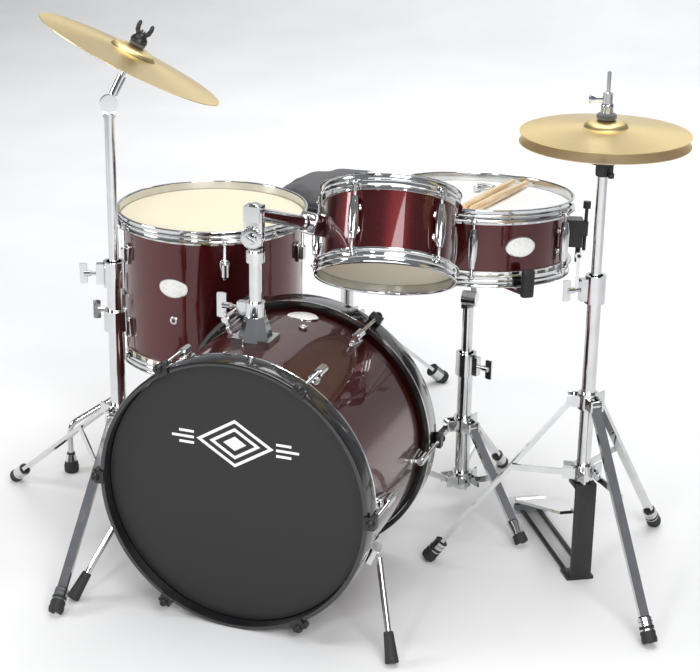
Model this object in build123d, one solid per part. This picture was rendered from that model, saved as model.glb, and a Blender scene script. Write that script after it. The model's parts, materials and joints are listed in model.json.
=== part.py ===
"""Four-piece junior drum kit with hi-hat, crash, throne and bass pedal.

Millimetres, +Z up. +Y runs from the audience to the drummer and +X is the audience's right.
Places are given from the middle of the bass drum on the floor, and KIT_SHIFT then centres the kit.
"""

import os
from math import atan2, cos, degrees, hypot, radians, sin

from build123d import *

KIT_SHIFT = Vector(-16.2, -354.4, 0.0)

# Fits
SHAFT_GAP = 0.05
BODY_GAP = 0.4
FIT_GAP = 0.3

# Bass drum, axis along Y
BASS_RADIUS = 203.0
BASS_SHELL_LENGTH = 294.0
BASS_PLY = 6.0
BASS_HOOP_RADIUS = 216.0
BASS_HOOP_WALL = 7.5
BASS_HOOP_WIDTH = 40.0
BASS_DEPTH = 334.0
BASS_HEIGHT = BASS_HOOP_RADIUS
BASS_LUG_ANGLES = [0, 60, 120, 180, 240, 300]
BASS_ROD_RADIUS = 222.0

# Spurs
SPUR_ANGLE = -22.0
SPUR_Y = -100.0
SPUR_TIP = Vector(264.0, -183.0, 0.0)
SPUR_ROD = 5.0

# Hanging tom (8 inch), in its own frame and then tilted to the drummer
TOM_RADIUS = 101.6
TOM_HEIGHT = 106.0
TOM_FOOT = Vector(145.2, 102.3, 511.4)
TOM_AXIS = Vector(-0.123, 0.502, 0.856)
TOM_LUG_ANGLES = [262, 334, 46, 118, 190]

# Tom holder on top of the bass shell
POST_X, POST_Y = -17.0, -27.0
POST_RADIUS = 9.5
POST_TOP = 562.0
TILTER_Z = 582.0
ARM_Z = 618.0

# Floor tom (between 12 and 13 inch)
FLOOR_TOM = Vector(-275.0, 393.0, 239.0)
FLOOR_TOM_RADIUS = 159.5
FLOOR_TOM_HEIGHT = 236.0
FLOOR_TOM_LUG_ANGLES = [-131, -59, 1, 61, 121, 181]
FLOOR_TOM_LEG_ANGLES = [212, 325, 95]
LEG_REACH = 264.0

# Snare (12 inch) and its stand
SNARE = Vector(194.0, 427.0, 446.5)
SNARE_RADIUS = 152.4
SNARE_HEIGHT = 95.0
SNARE_TILT = 4.0
SNARE_LUG_ANGLES = [-76, -12, 48, 108, 168, 228]
SNARE_STAND_X, SNARE_STAND_Y = 198.0, 387.0
SNARE_LEG_ANGLES = [320, 82, 222]
SNARE_HINGE_Z = 382.0
BASKET_ANGLES = [-45, 75, 195]
HOOP_OUT = 171.0

# Sticks and key on the snare head
STICK_X, STICK_Y, STICK_TURN, STICK_LENGTH = 26.0, 8.0, 86.0, 264.0
KEY_X, KEY_Y, KEY_TURN = -18.0, 46.0, 77.0

# Hi-hat (10 inch)
HAT_X, HAT_Y = 448.5, 202.0
HAT_CYMBAL_RADIUS = 127.0
HAT_TOP_EDGE = 730.0
HAT_GAP = 14.0
HAT_LEG_ANGLES = [190, 310, 70]
HAT_PEDAL_ANGLE = 122.4

# Crash (12 inch)
CRASH_X, CRASH_Y = -300.0, 63.0
CRASH_RADIUS = 152.4
CRASH_TILTER_Z = 738.0
CRASH_AXIS = Vector(0.387, 0.239, 0.890)
CRASH_RISE = 76.0
CRASH_LEG_ANGLES = [156.6, 276.6, 58.0]

# Bass pedal
PEDAL_Y = 206.0
PEDAL_AXLE_Z = 118.0
PEDAL_LEAN = 35.0
PEDAL_CAM = 30.0

# Throne
THRONE_X, THRONE_Y = -147.0, 744.0
SEAT_RADIUS = 131.0
SEAT_TOP = 459.0
SEAT_THICK = 62.0
THRONE_LEG_ANGLES = [53.6, 173.6, 293.6]

ROD_OFFSET = 9.5
BOTTOM = (Align.CENTER, Align.CENTER, Align.MIN)

parts = {}


def add(name, *shapes):
    """Collects the solids of one node."""
    parts.setdefault(name, []).extend(shapes)


def disc(radius, height, z=0.0, x=0.0, y=0.0):
    return Pos(x, y, z) * Cylinder(radius, height, align=BOTTOM)


def ring(outer, inner, height, z=0.0, x=0.0, y=0.0):
    return disc(outer, height, z, x, y) - disc(inner, height + 2, z - 1, x, y)


def frame_at(start, end):
    """A plane at start whose normal points to end."""
    axis = (end - start).normalized()
    side = Vector(0, 0, 1) if abs(axis.Z) < 0.95 else Vector(1, 0, 0)
    return Plane(origin=start, x_dir=side.cross(axis).normalized(), z_dir=axis)


def bar(start, end, radius):
    """A round bar between two points."""
    return frame_at(start, end) * Cylinder(radius, (end - start).length, align=BOTTOM)


def flat_bar(start, end, width, thick):
    """A flat bar between two points, its width level."""
    return frame_at(start, end) * Box(width, thick, (end - start).length, align=BOTTOM)


def lathe(points):
    """A solid of revolution about Z from (radius, height) points."""
    outline = Polyline(*[(r, z) for r, z in points], close=True)
    return revolve(Plane.XZ * make_face(outline), Axis.Z)


def spin(shape, angle, x=0.0, y=0.0):
    """Turns a shape made at the origin about Z and moves it to a stand."""
    return Pos(x, y, 0) * Rot(0, 0, angle) * shape


# ---------------------------------------------------------------- drums

def flanged_hoop(shell_radius, up=True):
    """Pressed steel hoop: a bottom flange on the head, a wall and a rolled top edge."""
    wall = shell_radius + 3.5
    points = [(wall, 0), (wall + 6.5, 0), (wall + 6.5, 2), (wall + 1.8, 2), (wall + 1.8, 18.5),
              (wall + 4.5, 18.5), (wall + 4.5, 21), (wall, 21)]
    if not up:
        points = [(r, -z) for r, z in points]
    return lathe(points)


def drum_head(shell_radius, up=True):
    """A film drawn over the bearing edge, with its collar in one piece."""
    outer = shell_radius + 3.2
    inner = shell_radius + FIT_GAP
    points = [(0, 0.1), (inner, 0.1), (inner, -9), (outer, -9), (outer, 1.4), (0, 1.4)]
    if not up:
        points = [(r, -z) for r, z in points]
    return lathe(points)


def shell(radius, ply, length):
    return ring(radius, radius - ply, length)


def tube_lug(radius, height, gap):
    """A slim double-ended tube lug on two posts, clear of both hoops."""
    reach = radius + ROD_OFFSET
    body_length = height - 2 * gap
    body = disc(5.4, body_length, gap, reach) + disc(7.0, body_length * 0.6, gap + body_length * 0.2, reach)
    for z in (gap + 16, height - gap - 16):
        body = body + Pos(radius + 4.4, 0, z) * Rot(0, 90, 0) * Cylinder(3.4, 8.0)
    return body


def hoop_rods(radius, height, angles, gap):
    """Rods that hang from the top and bottom hoops into the lugs."""
    reach = radius + ROD_OFFSET
    seat, cap = 2.4, 7.0
    run = gap - seat - FIT_GAP
    low = disc(2.6, run, seat, reach) + disc(3.6, cap, seat - cap, reach)
    high = disc(2.6, run, height - gap + FIT_GAP, reach) + disc(3.6, cap, height - seat, reach)
    return [Rot(0, 0, angle) * rod for angle in angles for rod in (low, high)]


def metal_hoops(radius, height, angles):
    """The two pressed hoops with an ear at every rod."""
    reach = radius + ROD_OFFSET
    hoops = []
    for up, z in ((True, height - 4.5), (False, 4.5)):
        hoop = Pos(0, 0, z) * flanged_hoop(radius, up)
        low = z if up else z - 2.0
        for angle in angles:
            hole = Rot(0, 0, angle) * disc(3.1, 40, low - 20, reach)
            ear = Rot(0, 0, angle) * disc(6.5, 2.0, low, reach + 1.0)
            ear = ear - disc(radius + 4.0, 10, low - 4)
            hoop = hoop + ear - hole
        hoops.append(hoop)
    return hoops


def build_bass():
    along = Pos(0, 0, BASS_HEIGHT) * Rot(90, 0, 0)
    half = BASS_SHELL_LENGTH / 2
    body = Pos(0, 0, -half) * shell(BASS_RADIUS, BASS_PLY, BASS_SHELL_LENGTH)
    add("bass_shell", along * body)
    for side in (1, -1):
        low = BASS_DEPTH / 2 - BASS_HOOP_WIDTH
        hoop = ring(BASS_HOOP_RADIUS, BASS_HOOP_RADIUS - BASS_HOOP_WALL, BASS_HOOP_WIDTH, low)
        flip = Rot(90 - 90 * side, 0, 0)
        add("bass_hoops", along * flip * hoop)
        inner, outer = BASS_RADIUS + FIT_GAP, BASS_RADIUS + 5.0
        collar = [(0, half + 0.1), (0, half + 1.2), (outer, half + 1.2),
                  (outer, half - 11), (inner, half - 11), (inner, half + 0.1)]
        add("bass_heads", along * flip * lathe(collar))
        for angle in BASS_LUG_ANGLES:
            around = along * flip * Rot(0, 0, angle)
            add("bass_lugs", around * bass_lug())
            add("bass_claws", around * bass_claw())
            rod = disc(3.0, 78.0, 94.0, BASS_ROD_RADIUS) + disc(6.5, 5.0, 172.0, BASS_ROD_RADIUS)
            add("bass_claws", around * rod)


def bass_lug():
    """A short cast lug: a foot on the shell and a nose that holds the rod."""
    foot = Pos(BASS_RADIUS + 4.0, 0, 84) * Box(9.0, 17, 40)
    nose = disc(7.5, 26, 68, BASS_ROD_RADIUS - 3)
    foot = foot - disc(BASS_RADIUS, 80, 40)
    return foot + nose


def bass_claw():
    """A hook over the hoop's outer edge with a hole for its rod."""
    top = BASS_DEPTH / 2
    face = Pos(217.5, 0, top + 0.2) * Box(19.0, 22, 4.0, align=BOTTOM)
    back = Pos(222.0, 0, top - 16) * Box(10.0, 22, 20.0, align=BOTTOM)
    hook = face + back - disc(BASS_HOOP_RADIUS + FIT_GAP, BASS_HOOP_WIDTH, top - BASS_HOOP_WIDTH + 0.2)
    return hook - disc(3.0 + FIT_GAP, 60, top - 30, BASS_ROD_RADIUS)


def build_spurs():
    for side, name in ((1, "spur_right"), (-1, "spur_left")):
        angle = SPUR_ANGLE if side > 0 else 180 - SPUR_ANGLE
        out = Vector(cos(radians(angle)), 0, sin(radians(angle)))
        hub = Vector(0, SPUR_Y, BASS_HEIGHT) + out * (BASS_RADIUS + 16)
        base = Vector(0, SPUR_Y, BASS_HEIGHT) + out * (BASS_RADIUS - 3)
        plate = frame_at(base, hub) * Box(52, 30, 9, align=BOTTOM)
        block = frame_at(base, hub) * Pos(0, 0, 3) * Box(26, 26, 22, align=BOTTOM)
        drum = Pos(0, 0, BASS_HEIGHT) * Rot(90, 0, 0) * Cylinder(BASS_RADIUS, 400)
        tip = Vector(SPUR_TIP.X * side, SPUR_TIP.Y, SPUR_TIP.Z)
        start = hub + (tip - hub).normalized() * 2 + out * 10
        run = (tip + Vector(0, 0, 7) - start).normalized()
        pocket = bar(start - run * 15, start + run * 60, SPUR_ROD + BODY_GAP)
        add("leg_brackets", (plate + block - drum) - pocket)
        end = tip + Vector(0, 0, 4.5)
        rod = bar(start, end - run * 30, SPUR_ROD)
        shoe = frame_at(end - run * 46, end) * Cone(7.0, 10.0, 44, align=BOTTOM)
        ground = Pos(tip.X, tip.Y, 0) * Box(80, 80, 40, align=(Align.CENTER, Align.CENTER, Align.MAX))
        add(name, rod + shoe - ground)


def wing_bolt(height=20.0, span=34.0, shank=3.0):
    """A wing bolt along Z with its shank at the origin."""
    stem = Cylinder(shank, height, align=BOTTOM)
    hub = Pos(0, 0, height * 0.45) * Cylinder(5.0, height * 0.55, align=BOTTOM)
    wing = Pos(0, 0, height * 0.75) * Box(span, 3.0, height * 0.6, align=BOTTOM)
    trim = Pos(0, 0, height * 0.75 + height * 0.3) * Rot(90, 0, 0) * Cylinder(span / 2, 3.0)
    return stem + hub + (wing & trim)


def clamp(x, y, z, tube, height=28.0, angle=180.0, depth=14.0):
    """A pinch collar round a tube with a wing bolt to one side."""
    body = disc(tube + 5.0, height, z)
    ear = Pos(tube + depth / 2, 0, z + height / 2) * Box(depth, 12, height * 0.8)
    body = body + ear - disc(tube, height + 2, z - 1)
    bolt = Pos(tube + depth, 0, z + height / 2) * Rot(0, 90, 0) * wing_bolt()
    return spin(body, angle, x, y), spin(bolt, angle, x, y)


def build_tom_holder():
    top = BASS_HEIGHT + BASS_RADIUS
    drum = Pos(0, 0, BASS_HEIGHT) * Rot(90, 0, 0) * Cylinder(BASS_RADIUS, 400)
    plate = Pos(POST_X, POST_Y, top - 6) * Box(62, 46, 12, align=BOTTOM)
    socket = Pos(POST_X, POST_Y, top + 4) * Cone(24, 15, 34, align=BOTTOM)
    neck = disc(15, 24, top + 36, POST_X, POST_Y)
    bore = disc(POST_RADIUS + SHAFT_GAP, 90, top - 2, POST_X, POST_Y)
    ear = Pos(POST_X - 20, POST_Y, top + 48) * Box(16, 13, 20)
    add("tom_mount_base", plate + socket + neck + ear - drum - bore)
    bolt = Pos(POST_X - 28, POST_Y, top + 48) * Rot(0, -90, 0) * wing_bolt(26, 40)
    add("tom_mount_base", bolt)
    post = disc(POST_RADIUS, POST_TOP - top - 1, top + 1, POST_X, POST_Y)
    collar = ring(POST_RADIUS + 4.5, POST_RADIUS - 1, 16, POST_TOP - 20, POST_X, POST_Y)
    yoke = Pos(POST_X, POST_Y + 9, POST_TOP - 17) * Box(20, 9, 50, align=BOTTOM)
    add("tom_post", post + collar + yoke)
    build_tilter()


def arm_line():
    """The arm from the top of the post to the bracket on the tom."""
    start = Vector(POST_X, POST_Y - 4, ARM_Z)
    away = Vector(-0.933, -0.359, 0)
    middle = TOM_FOOT + TOM_AXIS.normalized() * (TOM_HEIGHT * 0.58)
    out = (away - TOM_AXIS * (away.dot(TOM_AXIS) / TOM_AXIS.dot(TOM_AXIS))).normalized()
    seat = middle + out * (TOM_RADIUS + 2)
    return start, seat, out


def build_tilter():
    start, seat, out = arm_line()
    hinge = Vector(POST_X, POST_Y, TILTER_Z)
    toothed = Pos(hinge.X, hinge.Y + 4.5 - BODY_GAP, hinge.Z) * Rot(90, 0, 0)
    toothed = toothed * Cylinder(14, 16, align=BOTTOM)
    cheek = flat_bar(hinge + Vector(0, -4, 0), start, 14, 12)
    block = Pos(start.X, start.Y, start.Z) * Box(26, 22, 24)
    heading = (seat - start).normalized()
    tube = bar(start, seat - heading * 34, 9.0)
    pin = bar(start, seat - heading * 12, 6.0)
    ringed = bar(seat - heading * 42, seat - heading * 34, 12.0)
    add("tom_tilter", toothed + cheek + block + tube + pin + ringed)
    socket = bar(seat - heading * 34 + heading * BODY_GAP, seat - heading * 4, 13.0)
    hole = bar(seat - heading * 40, seat - heading * 9, 6.0 + SHAFT_GAP)
    plate = frame_at(seat - out * 6, seat + out * 4) * Box(34, 46, 7, align=BOTTOM)
    foot = bar(seat - heading * 14, seat - out * 2, 12.0)
    drum = tom_place() * disc(TOM_RADIUS, TOM_HEIGHT)
    room = Rot(0, 0, TOM_LUG_ANGLES[-1]) * Pos(TOM_RADIUS + 9, 0, TOM_HEIGHT / 2)
    room = tom_place() * room * Box(20, 15, TOM_HEIGHT)
    add("tom_bracket", socket + foot + plate - hole - drum - room)


def tom_place():
    side = Vector(0, 1, 0).cross(TOM_AXIS).normalized()
    return Plane(origin=TOM_FOOT, x_dir=side, z_dir=TOM_AXIS)


def build_tom():
    place = tom_place()
    add("tom_shell", place * shell(TOM_RADIUS, 5.0, TOM_HEIGHT))
    for hoop in metal_hoops(TOM_RADIUS, TOM_HEIGHT, TOM_LUG_ANGLES):
        add("tom_hoops", place * hoop)
    add("tom_heads", place * Pos(0, 0, TOM_HEIGHT) * drum_head(TOM_RADIUS, True))
    add("tom_heads", place * drum_head(TOM_RADIUS, False))
    gap = 20.0
    for angle in TOM_LUG_ANGLES:
        add("tom_lugs", place * Rot(0, 0, angle) * tube_lug(TOM_RADIUS, TOM_HEIGHT, gap))
    for rod in hoop_rods(TOM_RADIUS, TOM_HEIGHT, TOM_LUG_ANGLES, gap):
        add("tom_lugs", place * rod)


def build_floor_tom():
    place = Pos(*FLOOR_TOM)
    radius, height = FLOOR_TOM_RADIUS, FLOOR_TOM_HEIGHT
    add("floor_tom_shell", place * shell(radius, 6.0, height))
    for hoop in metal_hoops(radius, height, FLOOR_TOM_LUG_ANGLES):
        add("floor_tom_hoops", place * hoop)
    add("floor_tom_heads", place * Pos(0, 0, height) * drum_head(radius, True))
    add("floor_tom_heads", place * drum_head(radius, False))
    reach = radius + ROD_OFFSET
    for angle in FLOOR_TOM_LUG_ANGLES:
        for z in (34, height - 68):
            foot = Pos(radius + 3.5, 0, z + 17) * Box(8, 15, 34) - disc(radius, height + 20, -10)
            lug = foot + disc(6.5, 24, z + 5, reach - 1)
            add("floor_tom_lugs", place * Rot(0, 0, angle) * lug)
    for rod in hoop_rods(radius, height, FLOOR_TOM_LUG_ANGLES, 38.6):
        add("floor_tom_lugs", place * rod)
    for number, angle in enumerate(FLOOR_TOM_LEG_ANGLES, 1):
        build_floor_leg(number, angle)


def build_floor_leg(number, angle):
    """A cranked leg rod in a clamp bracket on the shell."""
    x, y = FLOOR_TOM.X, FLOOR_TOM.Y
    rod_at = FLOOR_TOM_RADIUS + 17.0
    base = FLOOR_TOM.Z + 40
    plate = Pos(FLOOR_TOM_RADIUS + 2, 0, base) * Box(8, 40, 62, align=BOTTOM)
    block = Pos(FLOOR_TOM_RADIUS + 14, 0, base + 10) * Box(24, 22, 42, align=BOTTOM)
    hole = disc(5.0 + SHAFT_GAP, 90, base - 10, rod_at)
    inside = disc(FLOOR_TOM_RADIUS, 300, base - 80)
    bolt = Pos(rod_at + 8.0, 0, base + 31) * Rot(0, 90, 0) * wing_bolt(22, 34)
    add("leg_brackets", spin(plate + block - hole - inside, angle, x, y), spin(bolt, angle, x, y))
    bend = 5 * 5.0
    corners = [(rod_at, 0, base + 92), (rod_at, 0, 142), (LEG_REACH, 0, 92), (LEG_REACH, 0, 22)]
    path = FilletPolyline(*corners, radius=bend)
    start = Plane(origin=(rod_at, 0, base + 92), z_dir=(0, 0, -1))
    rod = sweep(start * Circle(5.0), path=path)
    foot = Pos(LEG_REACH, 0, 0) * lathe([(0, 0), (10, 0), (13, 6), (13, 14), (7, 38), (0, 38)])
    add("floor_tom_leg_%d" % number, spin(rod + foot, angle, x, y))


def snare_place():
    return Pos(*SNARE) * Rot(-SNARE_TILT, 0, 0)


def build_snare():
    place = snare_place()
    radius, height = SNARE_RADIUS, SNARE_HEIGHT
    add("snare_shell", place * shell(radius, 6.0, height))
    for hoop in metal_hoops(radius, height, SNARE_LUG_ANGLES):
        add("snare_hoops", place * hoop)
    add("snare_heads", place * Pos(0, 0, height) * drum_head(radius, True))
    add("snare_heads", place * drum_head(radius, False))
    gap = 14.5
    for angle in SNARE_LUG_ANGLES:
        add("snare_lugs", place * Rot(0, 0, angle) * tube_lug(radius, height, gap))
    for rod in hoop_rods(radius, height, SNARE_LUG_ANGLES, gap):
        add("snare_lugs", place * rod)
    for row in range(-4, 5):
        wire = Pos(0, row * 4.5, -2.6) * Rot(0, 90, 0) * Cylinder(1.0, 240)
        add("snare_wires", place * Rot(0, 0, 18) * wire)
    for end in (-1, 1):
        plate = Pos(end * 124, 0, -3.6) * Box(12, 46, 4.0)
        add("snare_wires", place * Rot(0, 0, 18) * plate)
    build_strainer(place)


def build_strainer(place):
    """The throw-off: a housing on the shell, a tension knob and a chrome lever."""
    radius = SNARE_RADIUS
    turn = Pos(0, 0, -28) * Rot(0, 0, 18)
    housing = Pos(radius + 12, 0, 52) * Box(26, 34, 46, align=BOTTOM)
    housing = housing - disc(radius, 300, -50)
    screw = disc(3.0, 76, 44, radius + 30) + disc(6.5, 12, 116, radius + 30)
    arm = Pos(radius + 27, 0, 70) * Box(14, 14, 24, align=BOTTOM)
    crank = Pos(radius + 20, 0, 24) * Box(8, 12, 30, align=BOTTOM)
    pivot = Pos(radius + 20, -24, 40) * Rot(90, 0, 0)
    pin = Pos(0, 7, 0) * pivot * Cylinder(3.0, 26)
    add("snare_strainer", place * turn * (housing + screw + arm + crank + pin))
    hinge = pivot * Cylinder(6, 8)
    handle = Pos(radius + 20, -24, -18) * Box(6, 8, 58, align=BOTTOM)
    bore = pivot * Cylinder(3.0 + SHAFT_GAP, 20)
    add("snare_lever", place * turn * (hinge + handle - bore))


def tripod(x, y, collar_z, hub_z, reach, angles, joint, tube, foot=11.0, width=15.0):
    """Legs and braces as separate solids, each a (leg, brace) pair."""
    pairs = []
    for angle in angles:
        top = Vector(tube + 12.5, 0, collar_z)
        end = Vector(reach, 0, 12.5)
        heading = (end - top).normalized()
        leg = flat_bar(top, end, width, 6.5) + Pos(*top) * Rot(90, 0, 0) * Cylinder(6.0, width)
        shoe = frame_at(end - heading * 30, end) * Cylinder(foot, 38, align=BOTTOM)
        shoe = shoe - Pos(reach, 0, 0) * Box(120, 80, 60, align=(Align.CENTER, Align.CENTER, Align.MAX))
        along = (joint - tube - 12.5) / (reach - tube - 12.5)
        knee = Vector(joint, 0, collar_z + (12.5 - collar_z) * along)
        hub = Vector(tube + 10, 0, hub_z)
        eye = Pos(*hub) * Rot(90, 0, 0) * Cylinder(5.5, 3.0)
        brace = Pos(0, width / 2 + BODY_GAP + 1.6, 0) * (flat_bar(hub, knee, 3.0, 10.0) + eye)
        pairs.append((spin(leg + shoe, angle, x, y), spin(brace, angle, x, y)))
    return pairs


def leg_collar(x, y, z, tube, angles, width=15.0, height=26.0):
    """A collar on the tube with a fork for each leg."""
    body = disc(tube + 5, height, z - height / 2)
    for angle in angles:
        for side in (-1, 1):
            cheek = Pos(tube + 11, side * (width / 2 + BODY_GAP + 1.6), z) * Box(20, 3.2, 18)
            body = body + Rot(0, 0, angle) * cheek
    body = body - disc(tube + SHAFT_GAP, height + 2, z - height / 2 - 1)
    return Pos(x, y, 0) * body


def build_snare_stand():
    x, y = SNARE_STAND_X, SNARE_STAND_Y
    add("snare_stand_base", ring(12.5, 9.5 + SHAFT_GAP, 236, 34, x, y))
    for part in clamp(x, y, 245, 12.5 + SHAFT_GAP, 40, -20):
        add("snare_stand_base", part)
    add("snare_stand_base", leg_collar(x, y, 155, 12.5, SNARE_LEG_ANGLES))
    add("snare_stand_base", leg_collar(x, y, 52, 12.5, SNARE_LEG_ANGLES, 22.0))
    for leg, brace in tripod(x, y, 155, 52, 180, SNARE_LEG_ANGLES, 96, 12.5):
        add("snare_stand_base", leg, brace)
    post = disc(9.5, SNARE_HINGE_Z - 15 - 175, 175, x, y)
    cheek = Pos(x - 5, y, SNARE_HINGE_Z - 17) * Box(10, 17, 17, align=BOTTOM)
    hinge = Pos(x - 5, y, SNARE_HINGE_Z) * Rot(0, 90, 0) * Cylinder(13, 10)
    add("snare_tube", post + cheek + hinge)
    build_basket()


def build_basket():
    """The tilting hub and three arms, each with a rubber grip under and beside the bottom hoop."""
    place = snare_place() * Pos(0, 0, -2.5)
    hub_top = -24.0
    hub = place * (disc(17, 12, hub_top - 12) + disc(11, 10, hub_top - 22))
    hinge = Vector(SNARE_STAND_X + 7 + BODY_GAP, SNARE_STAND_Y, SNARE_HINGE_Z)
    middle = SNARE + Vector(0, -2, hub_top - 14.5)
    hub = hub + Pos(*hinge) * Rot(0, 90, 0) * Cylinder(13, 14) + bar(hinge + Vector(2, 0, 0), middle, 5.0)
    root, knee = Vector(12, 0, hub_top - 5), Vector(HOOP_OUT + 2, 0, -22)
    for angle in BASKET_ANGLES:
        around = place * Rot(0, 0, angle)
        hub = hub + around * flat_bar(root, knee, 9, 6)
        pad = Pos(HOOP_OUT + 5, 0, -26) * Box(10, 18, 44, align=BOTTOM)
        foot = Pos(HOOP_OUT - 6, 0, -19) * Box(14, 18, 4.4, align=BOTTOM)
        add("snare_basket", around * (pad + foot - flat_bar(root, knee + Vector(0.1, 0, 0), 9, 6)))
    add("snare_basket", hub)


def cymbal(radius, bell, rise, bell_rise, thick, hole=6.0):
    """A spun bronze cymbal, its edge at z = 0: a shallow bow and a raised bell."""
    bow = [(radius, 0), (radius * 0.7, rise * 0.42), (bell * 1.25, rise * 0.9), (bell, rise)]
    top = rise + bell_rise
    dome = [(bell * 0.8, rise + bell_rise * 0.6), (bell * 0.45, rise + bell_rise * 0.95), (hole, top)]
    under = bow + dome
    over = [(r, z + thick) for r, z in reversed(under)]
    return lathe(under + over)


def build_hat():
    x, y = HAT_X, HAT_Y
    add("hihat_base", ring(11, 8 + SHAFT_GAP, 330, 168, x, y))
    for part in clamp(x, y, 466, 11 + SHAFT_GAP, 44, 215):
        add("hihat_base", part)
    add("hihat_base", leg_collar(x, y, 305, 11, HAT_LEG_ANGLES))
    add("hihat_base", leg_collar(x, y, 184, 11, HAT_LEG_ANGLES, 22.0))
    for leg, brace in tripod(x, y, 305, 184, 238, HAT_LEG_ANGLES, 112, 11):
        add("hihat_base", leg, brace)
    add("hihat_tube", ring(8, 4.5, 190, 478, x, y))
    seat_z = HAT_TOP_EDGE - HAT_GAP - 21
    seat = lathe([(8.1, -30), (11, -30), (11, -14), (24, -8), (24, 0), (14, 0), (14, -3), (8.1, -3)])
    tilt_screw = disc(3, 22, -29, 16.5) + disc(4.5, 8, -30, 16.5)
    add("hihat_seat", spin(Pos(0, 0, seat_z) * (seat + tilt_screw), -30, x, y))
    bottom = Rot(180, 0, 0) * cymbal(HAT_CYMBAL_RADIUS, 32, 9, 11, 1.0)
    add("hihat_bottom_cymbal", Pos(x, y, HAT_TOP_EDGE - HAT_GAP) * bottom)
    top = cymbal(HAT_CYMBAL_RADIUS, 32, 9, 11, 1.0, 6.4)
    add("hihat_top_cymbal", Pos(x, y, HAT_TOP_EDGE) * top)
    rod = disc(3.0, 822 - 128, 128, x, y)
    link = disc(6, 14, 118, x, y)
    add("hihat_rod", rod + link)
    felt_z = HAT_TOP_EDGE + 21.0
    clutch = ring(9, 3.0, 12, felt_z, x, y) + ring(7.5, 3.0, 28, felt_z + 12, x, y)
    nut = ring(9, 3.0, 8, felt_z - 13, x, y) + ring(6, 3.0, 8, felt_z - 6, x, y)
    add("hihat_rod", clutch, nut)
    build_hat_pedal()


def build_hat_pedal():
    """Frame, heel plate and struts of the hi-hat pedal, and its footboard."""
    x, y, angle = HAT_X, HAT_Y, HAT_PEDAL_ANGLE
    plate = Pos(-17, 0, 0) * Box(4, 34, 168, align=BOTTOM)
    roof = Pos(-2, 0, 160) * Box(34, 34, 8, align=BOTTOM)
    base = Pos(-2, 0, 0) * Box(34, 44, 5, align=BOTTOM)
    frame = plate + roof + base - disc(8, 60, 150)
    heel = Pos(262, 0, 0) * Box(56, 58, 6, align=BOTTOM) + Pos(252, 0, 0) * Box(14, 58, 15, align=BOTTOM)
    struts = [flat_bar(Vector(14, s * 15, 3), Vector(235, s * 15, 3), 6, 5) for s in (-1, 1)]
    for shape in (frame, heel, *struts):
        add("hihat_base", spin(shape, angle, x, y))
    board = flat_bar(Vector(240, 0, 22), Vector(20, 0, 103), 54, 5)
    hinge = Pos(242, 0, 21.5) * Rot(90, 0, 0) * Cylinder(5, 54)
    link = Pos(16, 0, 104) * Box(22, 12, 5)
    add("hihat_footboard", spin(board + hinge + link, angle, x, y))


def build_crash():
    x, y = CRASH_X, CRASH_Y
    add("crash_base_tube", ring(12.5, 8 + SHAFT_GAP, 406, 62, x, y))
    for part in clamp(x, y, 440, 12.5 + SHAFT_GAP, 42, 200, 16):
        add("crash_base_tube", part)
    add("crash_base_tube", leg_collar(x, y, 72, 12.5, CRASH_LEG_ANGLES, 22.0))
    add("crash_collar", leg_collar(x, y, 224, 12.5, CRASH_LEG_ANGLES, 15.0))
    memory = disc(19, 34, 366, x, y) - disc(12.5 + SHAFT_GAP, 40, 360, x, y)
    add("crash_base_tube", memory)
    legs = tripod(x, y, 224, 72, 293, CRASH_LEG_ANGLES, 94, 12.5)
    for number, (leg, brace) in enumerate(legs, 1):
        add("crash_leg_%d" % number, leg)
        add("crash_brace_%d" % number, brace)
    add("crash_tube", disc(8, CRASH_TILTER_Z - 18 - 380, 380, x, y))
    lean = degrees(atan2(CRASH_AXIS.Y, CRASH_AXIS.X))
    side = Rot(0, 0, lean)
    fork = Pos(0, 8, -18) * Box(18, 6, 24, align=BOTTOM) + disc(10, 6, -22)
    add("crash_tube", Pos(x, y, CRASH_TILTER_Z) * side * fork)
    tilt = degrees(atan2(hypot(CRASH_AXIS.X, CRASH_AXIS.Y), CRASH_AXIS.Z))
    drum = Rot(90, 0, 0) * Cylinder(14, 9)
    stem = disc(7, 32, 16) + disc(4, 20, 4) + disc(3, 122, 4)
    add("crash_tilter", Pos(x, y, CRASH_TILTER_Z) * side * (drum + Rot(0, tilt, 0) * stem))
    lifted = Pos(x, y, CRASH_TILTER_Z) * side * Rot(0, tilt, 0)
    low = CRASH_RISE
    add("crash_cymbal", lifted * Pos(0, 0, low) * cymbal(CRASH_RADIUS, 38, 10, 12, 1.1))
    add("crash_wing_nut", lifted * ring(13, 3.2, 8, low + 23.6), lifted * ring(13, 3.2, 8, low + 13.0))
    nut = disc(13.5, 8, low + 32.0) + disc(8, 8, low + 40.0) - disc(3, 60, low + 20)
    wings = Pos(0, 0, low + 44) * (Box(22, 5, 20, align=BOTTOM) - Box(7, 6, 21, align=BOTTOM))
    add("crash_wing_nut", lifted * (nut + wings))


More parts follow.
